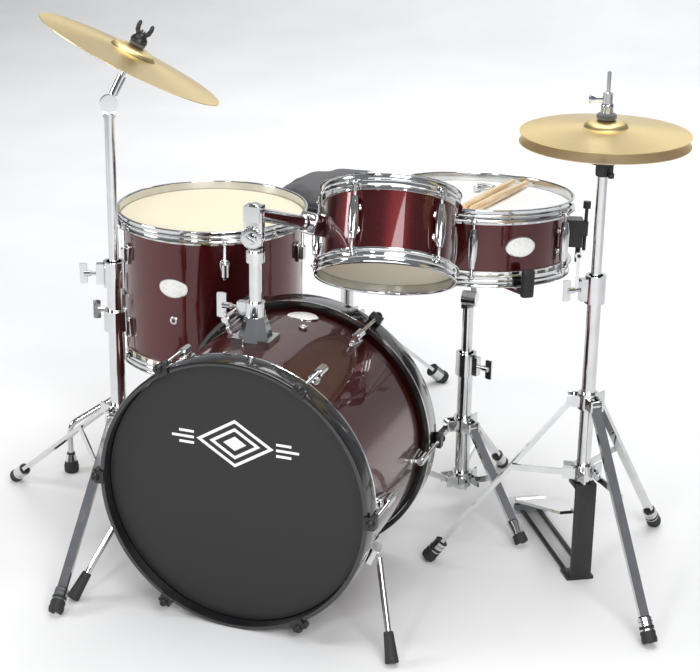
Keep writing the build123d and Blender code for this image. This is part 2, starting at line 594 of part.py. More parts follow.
def build_throne():
    x, y = THRONE_X, THRONE_Y
    add("throne_base", ring(12.5, 9.5 + SHAFT_GAP, 226, 44, x, y))
    for part in clamp(x, y, 262, 12.5 + SHAFT_GAP, 32, 20):
        add("throne_base", part)
    add("throne_base", leg_collar(x, y, 190, 12.5, THRONE_LEG_ANGLES, 18.0))
    add("throne_base", leg_collar(x, y, 62, 12.5, THRONE_LEG_ANGLES, 25.0))
    for leg, brace in tripod(x, y, 190, 62, 236, THRONE_LEG_ANGLES, 100, 12.5, 14.0, 18.0):
        add("throne_base", leg, brace)
    low = SEAT_TOP - SEAT_THICK
    socket = disc(16, 26, low - 36, x, y) + disc(70, 5, low - 10, x, y)
    add("throne_post", disc(9.5, low - 26 - 150, 150, x, y) + socket)
    pad = lathe([(0, 0), (SEAT_RADIUS - 6, 0), (SEAT_RADIUS, 10), (SEAT_RADIUS, SEAT_THICK - 22),
                 (SEAT_RADIUS - 14, SEAT_THICK - 8), (SEAT_RADIUS - 50, SEAT_THICK), (0, SEAT_THICK)])
    add("throne_cushion", Pos(x, y, low - 4.6) * pad)


def build_pedal():
    """Bass pedal on the rear hoop: frame, footboard and a sprung beater on its shaft."""
    y = PEDAL_Y
    base = Pos(0, y + 4, 0) * Box(92, 34, 5, align=BOTTOM)
    posts = [Pos(s * 36, y, 0) * Box(10, 16, PEDAL_AXLE_Z + 10, align=BOTTOM) for s in (-1, 1)]
    axle_hole = Pos(0, y, PEDAL_AXLE_Z) * Rot(0, 90, 0) * Cylinder(4 + SHAFT_GAP, 120)
    jaw = Pos(0, BASS_DEPTH / 2 + 6, 0) * Box(30, 30, 5, align=BOTTOM)
    jaw = jaw + Pos(0, BASS_DEPTH / 2 + 7, 0) * Box(26, 12, 22, align=BOTTOM)
    jaw = jaw - Pos(0, 0, BASS_HEIGHT) * Rot(90, 0, 0) * Cylinder(BASS_HOOP_RADIUS + 0.3, BASS_DEPTH + 0.6)
    frame = base + posts[0] + posts[1] + jaw - axle_hole
    heel = Pos(0, y + 232, 0) * Box(66, 52, 6, align=BOTTOM)
    heel = heel + Pos(0, y + 214, 0) * Box(66, 14, 15, align=BOTTOM)
    struts = [flat_bar(Vector(s * 24, y + 20, 3), Vector(s * 24, y + 206, 3), 6, 5) for s in (-1, 1)]
    add("pedal_frame", frame, heel, *struts)
    board = flat_bar(Vector(0, y + 205, 22), Vector(0, y + 6, 78), 58, 5)
    hinge = Pos(0, y + 205, 21.5) * Rot(0, 90, 0) * Cylinder(5, 58)
    add("pedal_footboard", board + hinge)
    axle = Pos(0, y, PEDAL_AXLE_Z) * Rot(0, 90, 0) * Cylinder(4, 104)
    cam = Pos(0, y, PEDAL_AXLE_Z) * Rot(0, 90, 0) * Cylinder(PEDAL_CAM, 10)
    lean = Pos(0, y, PEDAL_AXLE_Z) * Rot(-PEDAL_LEAN, 0, 0)
    shaft = disc(3.5, 150, 0)
    head = Pos(0, 0, 140) * Rot(90, 0, 0) * Cylinder(22, 40)
    add("pedal_beater", axle + cam + lean * (shaft + head))


def build_sticks():
    """Two sticks and a drum key lying on the snare head."""
    place = snare_place() * Pos(0, 0, SNARE_HEIGHT + 1.5)
    end = STICK_LENGTH
    outline = [(0, 0), (5.5, 0), (7.0, 3), (7.0, end * 0.6), (4.4, end - 14),
               (5.2, end - 8), (3.5, end), (0, end)]
    for offset, turn in ((8.5, 0.8), (-8.5, -0.8)):
        stick = Pos(-end / 2, offset, 7.3) * Rot(0, 0, turn) * Rot(0, 90, 0) * lathe(outline)
        add("drumsticks", place * Pos(STICK_X, STICK_Y, 0) * Rot(0, 0, STICK_TURN) * stick)
    key = disc(5.5, 42) + Pos(0, 0, 32) * Box(6, 34, 12, align=BOTTOM)
    add("drum_key", place * Pos(KEY_X, KEY_Y, 6.4) * Rot(0, 0, KEY_TURN) * Rot(0, 90, 0) * key)


def write_parts():
    os.makedirs("parts", exist_ok=True)
    for name, shapes in parts.items():
        shape = shapes[0] if len(shapes) == 1 else Compound(children=shapes)
        export_step(Pos(*KIT_SHIFT) * shape, "parts/%s.step" % name)


build_bass()
build_spurs()
build_tom_holder()
build_tom()
build_floor_tom()
build_snare()
build_snare_stand()
build_hat()
build_crash()
build_throne()
build_pedal()
build_sticks()
write_parts()
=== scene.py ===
"""Looks of the junior drum kit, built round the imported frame.
"""

import json
import math
from math import cos, pi, radians, sin

import bmesh
import bpy
from mathutils import Matrix, Vector


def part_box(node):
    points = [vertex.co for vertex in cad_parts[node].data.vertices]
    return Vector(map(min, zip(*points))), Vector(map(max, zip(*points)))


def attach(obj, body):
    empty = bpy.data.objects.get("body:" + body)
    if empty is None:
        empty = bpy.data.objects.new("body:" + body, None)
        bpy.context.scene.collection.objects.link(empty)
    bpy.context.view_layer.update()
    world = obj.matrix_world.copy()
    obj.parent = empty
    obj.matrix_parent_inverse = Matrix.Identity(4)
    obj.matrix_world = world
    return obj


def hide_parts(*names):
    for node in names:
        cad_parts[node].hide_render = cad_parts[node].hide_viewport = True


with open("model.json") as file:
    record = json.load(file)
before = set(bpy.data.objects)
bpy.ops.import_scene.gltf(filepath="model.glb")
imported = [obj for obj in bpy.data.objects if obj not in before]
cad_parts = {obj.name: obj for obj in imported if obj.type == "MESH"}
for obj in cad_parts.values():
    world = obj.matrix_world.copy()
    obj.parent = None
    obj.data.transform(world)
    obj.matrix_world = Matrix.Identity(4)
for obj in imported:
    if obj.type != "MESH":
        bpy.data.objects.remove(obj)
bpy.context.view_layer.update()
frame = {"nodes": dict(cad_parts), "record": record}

MM = 0.001

# Drums, as in the solids
BASS_RADIUS, BASS_HEIGHT, BASS_DEPTH, BASS_SHELL = 203.0, 216.0, 334.0, 294.0
BASS_HOOP, BASS_HOOP_WALL, BASS_HOOP_WIDTH = 216.0, 7.5, 40.0
BASS_ROD = 222.0
BASS_LUGS = [0, 60, 120, 180, 240, 300]
TOM_RADIUS, TOM_HEIGHT = 101.6, 106.0
TOM_LUGS = [262, 334, 46, 118, 190]
FLOOR_RADIUS, FLOOR_HEIGHT = 159.5, 236.0
FLOOR_LUGS = [-131, -59, 1, 61, 121, 181]
SNARE_RADIUS, SNARE_HEIGHT = 152.4, 95.0
SNARE_LUGS = [-76, -12, 48, 108, 168, 228]
ROD_OFFSET = 9.5
TOM_GAP, SNARE_GAP, FLOOR_GAP = 20.0, 14.5, 38.6
TOM_FOOT, TOM_AXIS = (145.2, 102.3, 511.4), (-0.123, 0.502, 0.856)

# Places of stands and legs. A stand holds x, y, the height of its leg collar, the reach of
# its feet, its leg angles and its tube radius.
HAT_X, HAT_Y = 448.5, 202.0
HAT_PEDAL_ANGLE = 122.4
CRASH_X, CRASH_Y = -300, 63
FLOOR_X, FLOOR_Y = -275, 393
FLOOR_LEGS, FLOOR_LEG_REACH = (212, 325, 95), 264
HAT_STAND = (HAT_X, HAT_Y, 305, 238, [190, 310, 70], 11)
CRASH_STAND = (CRASH_X, CRASH_Y, 224, 293, [156.6, 276.6, 58.0], 12.5)
SNARE_STAND = (198, 387, 155, 180, [320, 82, 222], 12.5)
THRONE_STAND = (-147, 744, 190, 236, [53.6, 173.6, 293.6], 12.5)
BASKET_ANGLES = (-45, 75, 195)
SPUR_ANGLE, SPUR_Y, SPUR_TIP = -22, -100, (264, -183)

# The tom holder's post, the hinge of its elbow and the start of its arm
POST_X, POST_Y = -17, -27
ELBOW_AT, ARM_START = (-17, -31, 582), (-17, -31, 618)

# How far the crash cymbal sits from its tilter, along its own axis
CRASH_RISE = 76
QUARTER = radians(90)


# ---------------------------------------------------------------- places

def spun(angle):
    return Matrix.Rotation(radians(angle), 4, "Z")


def shifted(x, y, z):
    return Matrix.Translation((x, y, z))


def kit_origin():
    """The point on the floor under the middle of the bass drum, in the row frame."""
    low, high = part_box("bass_shell")
    return Vector(((low.x + high.x) / 2, (low.y + high.y) / 2, 0.0))


ORIGIN = kit_origin()


def metric(place):
    """A place in kit millimetres as a matrix in the row frame."""
    out = place.to_3x3().to_4x4()
    out.translation = ORIGIN + place.translation * MM
    return out


def axis_place(at, axis, side):
    """A place at a point with its Z along axis and its X near side."""
    z = Vector(axis).normalized()
    x = Vector(side).cross(z).normalized()
    out = Matrix((x, z.cross(x), z)).transposed().to_4x4()
    out.translation = at
    return out


TOM_PLACE = axis_place(TOM_FOOT, TOM_AXIS, (0, 1, 0))
SNARE_PLACE = shifted(194, 427, 446.5) @ Matrix.Rotation(radians(-4), 4, "X")
FLOOR_PLACE = shifted(FLOOR_X, FLOOR_Y, 239)
BASS_PLACE = shifted(0, 0, BASS_HEIGHT) @ Matrix.Rotation(QUARTER, 4, "X")
CRASH_AXIS = Vector((0.387, 0.239, 0.890)).normalized()
CRASH_AT = Vector((CRASH_X, CRASH_Y, 738))


# ---------------------------------------------------------------- meshes, as (points, faces)

def lathe(profile, steps=72, wave=None):
    """A surface of revolution about Z from a closed loop of (radius, height) points."""
    points, faces = [], []
    count = len(profile)
    for step in range(steps):
        turn = 2 * pi * step / steps
        for r, z in profile:
            r = r + (wave(turn, z) if wave and r > 0 else 0)
            points.append((r * cos(turn), r * sin(turn), z))
    for step in range(steps):
        here, there = step * count, (step + 1) % steps * count
        for i in range(count):
            j = (i + 1) % count
            if profile[i][0] or profile[j][0]:
                faces.append((here + i, there + i, there + j, here + j))
    return points, faces


def tube(path, radius, steps=16):
    """A round bar along a list of points, closed at both ends. Radius may be a list."""
    path = [Vector(p) for p in path]
    radii = radius if isinstance(radius, list) else [radius] * len(path)
    points, faces = [], []
    side = None
    for i, at in enumerate(path):
        ahead = (path[min(i + 1, len(path) - 1)] - path[max(i - 1, 0)]).normalized()
        if side is None:
            side = ahead.orthogonal().normalized()
        side = (side - ahead * side.dot(ahead)).normalized()
        up = ahead.cross(side)
        for k in range(steps):
            turn = 2 * pi * k / steps
            points.append(at + (side * cos(turn) + up * sin(turn)) * radii[i])
    for i in range(len(path) - 1):
        for k in range(steps):
            n = (k + 1) % steps
            faces.append((i * steps + k, i * steps + n, (i + 1) * steps + n, (i + 1) * steps + k))
    faces.append(tuple(reversed(range(steps))))
    faces.append(tuple(range((len(path) - 1) * steps, len(path) * steps)))
    return points, faces


def rounded(bm, bevel, segments):
    """Bevels the sharp edges of bm and returns its points and faces."""
    sharp = [e for e in bm.edges if len(e.link_faces) == 2 and e.calc_face_angle() > 0.5]
    if bevel:
        bmesh.ops.bevel(bm, geom=sharp, offset=bevel, segments=segments, affect="EDGES", profile=0.5)
    bm.verts.index_update()
    mesh = [tuple(v.co) for v in bm.verts], [tuple(v.index for v in f.verts) for f in bm.faces]
    bm.free()
    return mesh


def block(x, y, z, bevel=0.8, segments=2):
    """A box centred on the origin with rounded edges."""
    bm = bmesh.new()
    bmesh.ops.create_cube(bm, size=1.0)
    bmesh.ops.scale(bm, vec=(x, y, z), verts=bm.verts)
    return rounded(bm, bevel, segments)


def prism(outline, depth, bevel=0.6, segments=2):
    """An outline in XY pulled along Z, centred, with rounded edges."""
    bm = bmesh.new()
    low = [bm.verts.new((x, y, -depth / 2)) for x, y in outline]
    face = bm.faces.new(low)
    made = bmesh.ops.extrude_face_region(bm, geom=[face])
    top = [v for v in made["geom"] if isinstance(v, bmesh.types.BMVert)]
    bmesh.ops.translate(bm, verts=top, vec=(0, 0, depth))
    bmesh.ops.recalc_face_normals(bm, faces=bm.faces)
    return rounded(bm, bevel, segments)


def rod(radius, low, high, end=0.6):
    """A round bar along Z with eased ends."""
    return lathe([(0, low), (radius - end, low), (radius, low + end), (radius, high - end),
                  (radius - end, high), (0, high)], 24)


def washer(outer, inner, low, high, end=0.5):
    return lathe([(inner, low), (outer - end, low), (outer, low + end), (outer, high - end),
                  (outer - end, high), (inner, high)], 36)


class Gather:
    """Collects meshes in kit millimetres and makes one piece of them."""

    def __init__(self):
        self.points, self.faces = [], []

    def put(self, mesh, place=Matrix()):
        base = len(self.points)
        self.points += [place @ Vector(p) for p in mesh[0]]
        self.faces += [tuple(i + base for i in face) for face in mesh[1]]
        return self

    def piece(self, name, material, body, slot, replaces=(), place=Matrix(), sharp=38):
        """Makes the object, with its own axes at place, and lets it ride on body."""
        mesh = bpy.data.meshes.new(name)
        mesh.from_pydata([p * MM for p in self.points], [], self.faces)
        bm = bmesh.new()
        bm.from_mesh(mesh)
        bmesh.ops.remove_doubles(bm, verts=bm.verts, dist=1e-6)
        bmesh.ops.recalc_face_normals(bm, faces=bm.faces)
        bm.to_mesh(mesh)
        bm.free()
        mesh.materials.append(material)
        smooth(mesh, sharp)
        made = bpy.data.objects.new(name, mesh)
        bpy.context.scene.collection.objects.link(made)
        made.matrix_world = metric(place)
        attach(made, body)
        if replaces:
            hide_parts(*replaces)
        return made


def smooth(mesh, sharp):
    mesh.polygons.foreach_set("use_smooth", [True] * len(mesh.polygons))
    mesh.set_sharp_from_angle(angle=radians(sharp))


# ---------------------------------------------------------------- materials

def shader(name, color, metallic=0.0, roughness=0.5, **sockets):
    """A Principled material and its node tree."""
    material = bpy.data.materials.new(name)
    material.use_nodes = True
    tree = material.node_tree
    bsdf = tree.nodes["Principled BSDF"]
    bsdf.inputs["Base Color"].default_value = (*color, 1)
    bsdf.inputs["Metallic"].default_value = metallic
    bsdf.inputs["Roughness"].default_value = roughness
    for socket, value in sockets.items():
        bsdf.inputs[socket.replace("_", " ")].default_value = value
    return material, tree, bsdf


def noise(tree, scale, detail=3.0, stretch=(1, 1, 1)):
    """Noise in the object's own metres, and its factor socket."""
    coords = tree.nodes.new("ShaderNodeTexCoord")
    mapping = tree.nodes.new("ShaderNodeMapping")
    mapping.inputs["Scale"].default_value = stretch
    tree.links.new(coords.outputs["Object"], mapping.inputs["Vector"])
    made = tree.nodes.new("ShaderNodeTexNoise")
    made.inputs["Scale"].default_value = scale
    made.inputs["Detail"].default_value = detail
    tree.links.new(mapping.outputs["Vector"], made.inputs["Vector"])
    return made.outputs["Fac"]


def ramp(tree, factor, low, high, start=0.35, end=0.65):
    """A colour or grey that runs from low to high with factor."""
    made = tree.nodes.new("ShaderNodeValToRGB")
    stops = made.color_ramp.elements
    for stop, at, value in ((stops[0], start, low), (stops[1], end, high)):
        stop.position = at
        stop.color = (*value, 1) if isinstance(value, tuple) else (value, value, value, 1)
    tree.links.new(factor, made.inputs["Fac"])
    return made.outputs["Color"]


def bump(tree, bsdf, height, distance, strength=1.0):
    made = tree.nodes.new("ShaderNodeBump")
    made.inputs["Strength"].default_value = strength
    made.inputs["Distance"].default_value = distance
    tree.links.new(height, made.inputs["Height"])
    tree.links.new(made.outputs["Normal"], bsdf.inputs["Normal"])


def grained(name, low, high, scale, roughness, depth, metallic=0.0, spread=0.1, **sockets):
    """A material whose colour, roughness and surface vary with one noise."""
    material, tree, bsdf = shader(name, low, metallic, roughness, **sockets)
    factor = noise(tree, scale)
    tree.links.new(ramp(tree, factor, low, high), bsdf.inputs["Base Color"])
    tree.links.new(ramp(tree, factor, roughness - spread, roughness + spread), bsdf.inputs["Roughness"])
    if depth:
        bump(tree, bsdf, factor, depth)
    return material


def metal_flake(name):
    """Deep red wrap with fine metal flake under a clear gloss."""
    material, tree, bsdf = shader(name, (0.1, 0.004, 0.01), 0.8, 0.28, Coat_Weight=1.0, Coat_Roughness=0.03)
    flake = noise(tree, 1400.0, 1.0)
    color = ramp(tree, flake, (0.036, 0.0015, 0.002), (0.125, 0.005, 0.007), 0.3, 0.7)
    tree.links.new(color, bsdf.inputs["Base Color"])
    tree.links.new(ramp(tree, flake, 0.24, 0.38), bsdf.inputs["Roughness"])
    bump(tree, bsdf, flake, 0.00005, 0.5)
    return material


def spun_bronze(name, low, high):
    """Satin bronze with the fine rings of a lathe about the piece's own Z."""
    material, tree, bsdf = shader(name, low, 1.0, 0.34, Anisotropic=0.55)
    tangent = tree.nodes.new("ShaderNodeTangent")
    tangent.direction_type = "RADIAL"
    tangent.axis = "Z"
    tree.links.new(tangent.outputs["Tangent"], bsdf.inputs["Tangent"])
    coords = tree.nodes.new("ShaderNodeTexCoord")
    flat = tree.nodes.new("ShaderNodeVectorMath")
    flat.operation = "MULTIPLY"
    flat.inputs[1].default_value = (1, 1, 0)
    length = tree.nodes.new("ShaderNodeVectorMath")
    length.operation = "LENGTH"
    rings = tree.nodes.new("ShaderNodeTexNoise")
    rings.noise_dimensions = "1D"
    rings.inputs["Scale"].default_value = 900.0
    tree.links.new(coords.outputs["Object"], flat.inputs[0])
    tree.links.new(flat.outputs["Vector"], length.inputs[0])
    tree.links.new(length.outputs["Value"], rings.inputs["W"])
    tree.links.new(ramp(tree, rings.outputs["Fac"], low, high, 0.25, 0.75), bsdf.inputs["Base Color"])
    tree.links.new(ramp(tree, rings.outputs["Fac"], 0.28, 0.42), bsdf.inputs["Roughness"])
    bump(tree, bsdf, rings.outputs["Fac"], 0.00012, 0.6)
    return material


def stick_grain(name):
    """Pale hickory with grain along the piece's own Z."""
    material, tree, bsdf = shader(name, (0.8, 0.6, 0.36), 0.0, 0.42, Coat_Weight=0.25)
    grain = noise(tree, 260.0, 6.0, (1, 1, 0.05))
    tree.links.new(ramp(tree, grain, (0.62, 0.40, 0.19), (0.86, 0.68, 0.44)), bsdf.inputs["Base Color"])
    bump(tree, bsdf, grain, 0.0001, 0.5)
    return material


def leather_grain(name):
    """Dark vinyl with a pebbled grain."""
    material, tree, bsdf = shader(name, (0.03, 0.03, 0.033), 0.0, 0.5, Sheen_Weight=0.15)
    coords = tree.nodes.new("ShaderNodeTexCoord")
    cells = tree.nodes.new("ShaderNodeTexVoronoi")
    cells.inputs["Scale"].default_value = 620.0
    tree.links.new(coords.outputs["Object"], cells.inputs["Vector"])
    color = ramp(tree, cells.outputs["Distance"], (0.022, 0.022, 0.025), (0.05, 0.05, 0.055), 0, 0.6)
    tree.links.new(color, bsdf.inputs["Base Color"])
    bump(tree, bsdf, cells.outputs["Distance"], 0.0004, 0.5)
    return material


RED = metal_flake("red_wrap")
CHROME = grained("chrome_plate", (0.60, 0.61, 0.61), (0.68, 0.68, 0.68), 40.0, 0.08, 0, 1.0, 0.04)
BLACK_GLOSS = grained("black_lacquer", (0.006, 0.006, 0.007), (0.012, 0.012, 0.013), 30.0, 0.16, 0, 0.0,
                      0.05, Coat_Weight=0.8, Coat_Roughness=0.06)
BLACK_FILM = grained("black_head_film", (0.007, 0.007, 0.007), (0.015, 0.015, 0.015), 500.0, 0.46, 0.00004)
CREAM_FILM = grained("cream_head_film", (0.78, 0.68, 0.50), (0.84, 0.75, 0.58), 900.0, 0.58, 0.00008,
                     Subsurface_Weight=0.1, Subsurface_Scale=0.01)
WHITE_FILM = grained("white_head_film", (0.86, 0.86, 0.83), (0.93, 0.93, 0.91), 900.0, 0.58, 0.00008)
BRONZE = spun_bronze("spun_bronze", (0.68, 0.50, 0.21), (0.90, 0.74, 0.40))
PALE_BRONZE = spun_bronze("pale_bronze", (0.70, 0.54, 0.28), (0.90, 0.76, 0.50))
RUBBER = grained("black_rubber", (0.012, 0.012, 0.012), (0.028, 0.028, 0.028), 400.0, 0.68, 0.0001)
PLASTIC = grained("black_plastic", (0.010, 0.010, 0.011), (0.020, 0.020, 0.021), 700.0, 0.34, 0.00003)
FELT = grained("grey_felt", (0.05, 0.05, 0.052), (0.11, 0.11, 0.11), 1500.0, 0.88, 0.0006, Sheen_Weight=0.4)
ENAMEL = grained("white_enamel", (0.82, 0.82, 0.80), (0.90, 0.90, 0.88), 200.0, 0.25, 0, Coat_Weight=0.6)
STEEL = grained("wire_steel", (0.52, 0.52, 0.53), (0.66, 0.66, 0.66), 200.0, 0.3, 0, 1.0)
WOOD = stick_grain("hickory")
VINYL = leather_grain("seat_vinyl")
FLOOR = grained("studio_floor", (0.80, 0.80, 0.80), (0.83, 0.83, 0.83), 3.0, 0.75, 0)

NODE_MATERIAL = {
    "shell": RED, "black_lacquer": BLACK_GLOSS, "black_head": BLACK_FILM, "cream_head": CREAM_FILM,
    "white_head": WHITE_FILM, "black_steel": PLASTIC, "bronze": BRONZE, "vinyl": VINYL,
    "stick_wood": WOOD, "black_plastic": PLASTIC, "chrome": CHROME,
}


def dress_nodes():
    """Gives every CAD node its material and smooth shading."""
    slots = {row["node"]: row["material_slot"] for row in frame["record"]["subparts"]}
    for name, node in frame["nodes"].items():
        node.data.materials.clear()
        node.data.materials.append(NODE_MATERIAL[slots[name]])
        smooth(node.data, 32)


# ---------------------------------------------------------------- drum parts

def hoop_profile(radius, up):
    """Pressed steel hoop: flange, wall with one bead, rolled lip."""
    r = radius
    loop = [(r + 3.6, 0.2), (r + 9.4, 0), (r + 10, 0.8), (r + 9.4, 1.7), (r + 6.6, 2.0), (r + 5.6, 3.0),
            (r + 5.3, 4.6), (r + 5.3, 8.0), (r + 6.3, 9.2), (r + 6.5, 10.3), (r + 5.6, 11.2), (r + 5.3, 12.4),
            (r + 5.3, 17.3), (r + 6.0, 18.5), (r + 7.4, 18.7), (r + 8.2, 19.5), (r + 7.8, 20.6),
            (r + 6.6, 21.0), (r + 4.7, 21.0), (r + 3.8, 20.2), (r + 3.5, 18.7)]
    return loop if up else [(x, -z) for x, z in loop]


def head_profile(radius, up):
    """A coated film with its rounded collar and flesh hoop."""
    inner, outer = radius + 0.4, radius + 3.1
    loop = [(0, 0.2), (inner, 0.2), (inner, -8.8), (outer, -8.8), (outer, -0.6), (radius + 2.4, 0.5),
            (radius + 0.8, 1.2), (radius - 1.2, 1.4), (0, 1.4)]
    return loop if up else [(x, -z) for x, z in loop]


def key_head(up):
    """The square head of a tension rod on its washer, standing on z = 0."""
    made = Gather()
    made.put(washer(6.0, 1.5, 0, 1.3)).put(washer(4.8, 1.5, 1.3, 3.2))
    made.put(block(5.4, 5.4, 5.6, 0.5), shifted(0, 0, 5.8))
    if not up:
        made.points = [Vector((p.x, p.y, -p.z)) for p in made.points]
    return made.points, made.faces


def tube_lug(radius, height, gap):
    """A turned double-ended tube lug on two flared posts."""
    top, low, reach = height - gap, gap, radius + ROD_OFFSET
    half = [(2.6, 0), (4.2, 0), (5.2, 0.8), (5.6, 4), (6.4, 9), (7.6, 14), (8.1, 20)]
    profile = [(r, low + z) for r, z in half] + [(r, top - z) for r, z in reversed(half)]
    made = Gather().put(lathe(profile, 28), shifted(reach, 0, 0))
    post = [(0, -0.6), (6.6, -0.6), (6.6, 0.6), (5.6, 1.5), (3.9, 2.6), (3.2, 4.2), (3.2, 9.0), (0, 9.0)]
    for z in (low + 16, top - 16):
        made.put(lathe(post, 24), shifted(radius, 0, z) @ Matrix.Rotation(QUARTER, 4, "Y"))
    return made.points, made.faces


def threaded(low, high, radius=2.5):
    """A tension rod's thread between low and high."""
    turns = max(2, int((high - low) / 1.4))
    loop = [(0, low)]
    for i in range(turns * 2 + 1):
        loop.append((radius - (0.35 if i % 2 else 0), low + (high - low) * i / (turns * 2)))
    return lathe(loop + [(0, high)], 16)


def metal_drum(name, body, place, radius, height, lugs, gap, film, film_slot, lug_mesh):
    """Hoops, heads, lugs and rods of a drum with pressed hoops."""
    hoops, heads, cast = Gather(), Gather(), Gather()
    reach = radius + ROD_OFFSET
    ear = lathe([(3.0, 0), (5.6, 0), (6.4, 0.6), (6.4, 1.4), (5.6, 2.0), (3.0, 2.0)], 24)
    for up, z, side in ((True, height - 4.5, -4.6), (False, 4.5, 4.6)):
        hoops.put(lathe(hoop_profile(radius, up), 144), shifted(0, 0, z))
        hoops.put(washer(radius + 3.6, radius + 2.8, min(z, z + side), max(z, z + side), 0.2))
        for angle in lugs:
            hoops.put(ear, spun(angle) @ shifted(reach + 0.8, 0, z if up else z - 2.0))
    heads.put(lathe(head_profile(radius, True), 144), shifted(0, 0, height))
    heads.put(lathe(head_profile(radius, False), 144))
    for angle in lugs:
        turn = spun(angle)
        cast.put(lug_mesh, turn)
        cast.put(key_head(True), turn @ shifted(reach, 0, height - 2.4))
        cast.put(key_head(False), turn @ shifted(reach, 0, 2.4))
        cast.put(threaded(-1, gap + 1), turn @ shifted(reach, 0, 0))
        cast.put(threaded(height - gap - 1, height + 1), turn @ shifted(reach, 0, 0))
    hoops.piece(name + "_rims", CHROME, body, "chrome", [name + "_hoops"], place)
    heads.piece(name + "_films", film, body, film_slot, [name + "_heads"], place)
    cast.piece(name + "_lug_set", CHROME, body, "chrome", [name + "_lugs"], place)


def teardrop(width, length, steps=10):
    """An outline with a round end at +Y and a narrow one at -Y."""
    big, small = width / 2, width / 5
    turns = [pi * i / steps for i in range(steps + 1)]
    up = [(big * cos(turn), length / 2 - big + big * sin(turn)) for turn in turns]
    down = [(-small * cos(turn), -length / 2 + small - small * sin(turn)) for turn in turns]
    return up + down


def facing_out(radius, angle, z):
    """A place on a shell whose Z points out of it and whose Y is up."""
    outward = Matrix(((0, 0, 1), (1, 0, 0), (0, 1, 0))).to_4x4()
    return spun(angle) @ shifted(radius, 0, z) @ outward


def floor_lug(radius, height):
    """Two separate cast lugs, their round ends to the hoops."""
    made = Gather()
    reach = radius + ROD_OFFSET
    for z, turn in ((51, 180), (height - 51, 0)):
        flip = spun(turn)
        made.put(prism(teardrop(17, 38), 6, 1.6, 3), facing_out(radius + 2, 0, z) @ flip)
        made.put(prism(teardrop(12, 30), 8, 2.4, 3), facing_out(radius + 6, 0, z) @ flip)
        made.put(rod(6.2, z - 13, z + 13, 2.0), shifted(reach - 0.6, 0, 0))
    return made.points, made.faces


def bass_parts():
    """Wooden hoops, a thin chrome strip on each hoop's rear outer edge as a painted highlight, heads, lugs,
    claws and rods.
    """
    hoops, painted_highlight_strip, films, lugs, claws, rods = (Gather() for _ in range(6))
    top, low = BASS_DEPTH / 2, BASS_DEPTH / 2 - BASS_HOOP_WIDTH
    out, wall = BASS_HOOP, BASS_HOOP_WALL
    ring = [(out - wall, low + 1), (out - wall + 1, low), (out - 1, low), (out, low + 1), (out, top - 2.4),
            (out - 0.8, top - 0.7), (out - 2.6, top), (out - wall + 2.2, top), (out - wall + 0.6, top - 0.7),
            (out - wall, top - 2.2)]
    # A thin chrome strip on the rear outer edge of each hoop: a painted highlight standing in for the light
    # on that edge.
    line = [(out - 0.2, low + 1.2), (out + 0.25, low + 1.4), (out + 0.25, low + 4.4), (out - 0.2, low + 4.6)]
    half = BASS_SHELL / 2
    film = [(0, half + 0.2), (BASS_RADIUS + 0.4, half + 0.2), (BASS_RADIUS + 0.4, half - 10.8),
            (BASS_RADIUS + 4.9, half - 10.8), (BASS_RADIUS + 4.9, half), (BASS_RADIUS + 3.6, half + 1.1),
            (BASS_RADIUS - 6, half + 1.2), (BASS_RADIUS - 8, half + 0.9), (0, half + 0.9)]
    head = [(0, top + 2), (7.2, top + 2), (7.4, top + 3), (6.8, top + 5.6), (4.6, top + 9.2),
            (1.6, top + 9.8), (1.4, top + 8.4), (0, top + 8.4)]
    hook = [(-9.5, 3.4), (6, 3.4), (8.6, 1.4), (9.6, -1.6), (9.6, -15.4), (6.6, -15.4), (0.6, -15.4),
            (0.2, 0.2), (-9.5, 0.2)]
    for flip in (Matrix(), Matrix.Rotation(pi, 4, "X")):
        here = BASS_PLACE @ flip
        hoops.put(lathe(ring, 180), here)
        painted_highlight_strip.put(lathe(line, 180), here)
        films.put(lathe(film, 180), here)
        for angle in BASS_LUGS:
            turn = here @ spun(angle)
            seat = turn @ facing_out(BASS_RADIUS, 0, 84)
            lugs.put(prism(teardrop(19, 44), 7, 1.8, 3), seat @ shifted(0, 0, 2.4))
            lugs.put(prism(teardrop(14, 36), 9, 2.6, 3), seat @ shifted(0, 0, 7.5))
            lugs.put(rod(7.4, 68, 96, 2.2), turn @ shifted(BASS_ROD - 3, 0, 0))
            claw_place = turn @ shifted(BASS_HOOP + 2, 0, top + 0.4) @ Matrix.Rotation(QUARTER, 4, "X")
            claws.put(prism(hook, 21, 1.2, 3), claw_place)
            rods.put(threaded(92, top, 2.8), turn @ shifted(BASS_ROD, 0, 0))
            claws.put(lathe(head, 28), turn @ shifted(BASS_ROD, 0, 0))
    hoops.piece("bass_rims", BLACK_GLOSS, "kit", "black_lacquer", ["bass_hoops"])
    # The chrome strip on the hoops' rear edges is a painted highlight.
    painted_highlight_strip.piece("bass_rim_painted_highlight", CHROME, "kit", "chrome")
    films.piece("bass_films", BLACK_FILM, "kit", "black_head", ["bass_heads"])
    lugs.piece("bass_lug_set", CHROME, "kit", "chrome", ["bass_lugs"])
    claws.piece("bass_claw_set", PLASTIC, "kit", "black_steel", ["bass_claws"])
    rods.piece("bass_rod_set", CHROME, "kit", "chrome")


